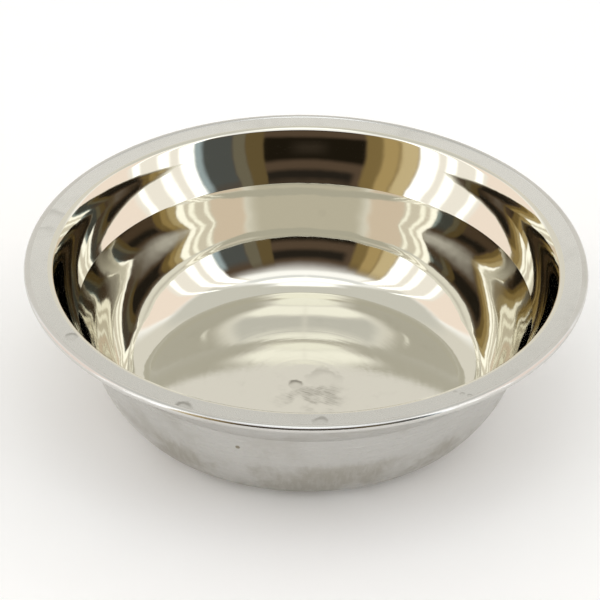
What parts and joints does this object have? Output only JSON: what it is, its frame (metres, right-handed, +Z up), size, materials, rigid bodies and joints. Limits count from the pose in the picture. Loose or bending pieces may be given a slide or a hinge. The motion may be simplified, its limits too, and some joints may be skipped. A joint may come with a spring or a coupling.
{
  "type": "round basin",
  "caption": "Round stainless steel basin with a stepped, polished bowl, a flat satin flange and a rolled bead, for holding instruments, swabs or fluids.",
  "frame": {"origin": "centre of the floor's underside, on the surface that the basin stands on", "axes": "+Z up along the basin's axis; X and Y are equal, because the basin is round"},
  "size_m": [0.3, 0.3, 0.084],
  "materials": {
    "stainless": "mirror-polished inside, satin on the flange and the outside"
  },
  "bodies": {
    "root": {"bowl_shell": "stainless"}
  },
  "joints": []
}
